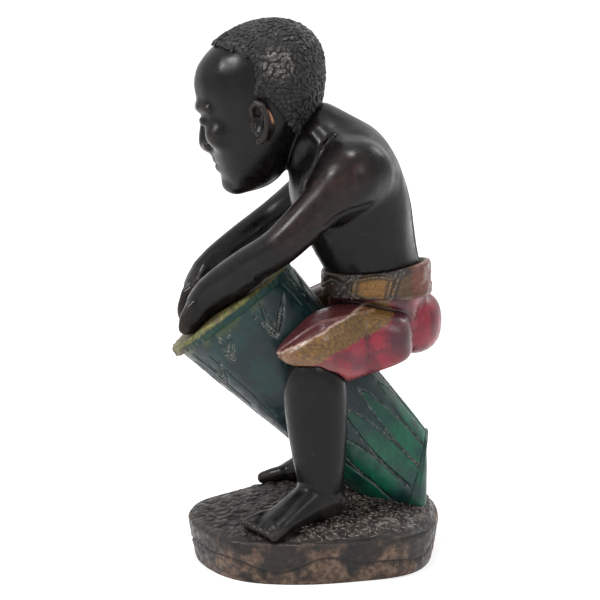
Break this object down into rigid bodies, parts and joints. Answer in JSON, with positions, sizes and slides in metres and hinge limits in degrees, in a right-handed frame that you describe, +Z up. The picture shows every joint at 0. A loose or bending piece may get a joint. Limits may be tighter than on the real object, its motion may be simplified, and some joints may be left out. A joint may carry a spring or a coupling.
{
  "type": "carved drummer figure",
  "caption": "Carved wooden figure of a crouching drummer in painted shorts, bent over a tilted tapered drum on a rough-hewn oval plinth.",
  "frame": {"origin": "The middle of the plinth's flat underside, on the surface that the figure stands on.", "axes": "+Z up through the figure. The figure faces -Y, and its left side is +X."},
  "size_m": [0.1322, 0.1614, 0.3274],
  "materials": {
    "base_wood": "rough-hewn hardwood, dark stain worn back to tan on the sides",
    "green_paint": "carved wood under worn dark teal-green paint",
    "drum_skin": "hatched wood painted olive gold to stand for a drum skin",
    "gold_paint": "carved wood under dull gold paint with dark strands",
    "red_paint": "carved wood under crimson and maroon paint, satin, porous",
    "black_wood": "black-brown hardwood, satin polish",
    "hair_wood": "black-brown hardwood cut into short curls, rubbed grey on the tips"
  },
  "bodies": {
    "root": {"base": "base_wood", "drum_shell": "green_paint", "drum_head": "drum_skin", "drum_foot": "green_paint", "waistband": "gold_paint", "shorts_seat": "red_paint", "shorts_left_leg": "red_paint", "shorts_right_leg": "red_paint", "torso": "black_wood", "head": "black_wood", "hair": "hair_wood", "left_ear": "black_wood", "right_ear": "black_wood", "left_arm": "black_wood", "right_arm": "black_wood", "left_leg": "black_wood", "right_leg": "black_wood", "left_foot": "black_wood", "right_foot": "black_wood"}
  },
  "joints": []
}
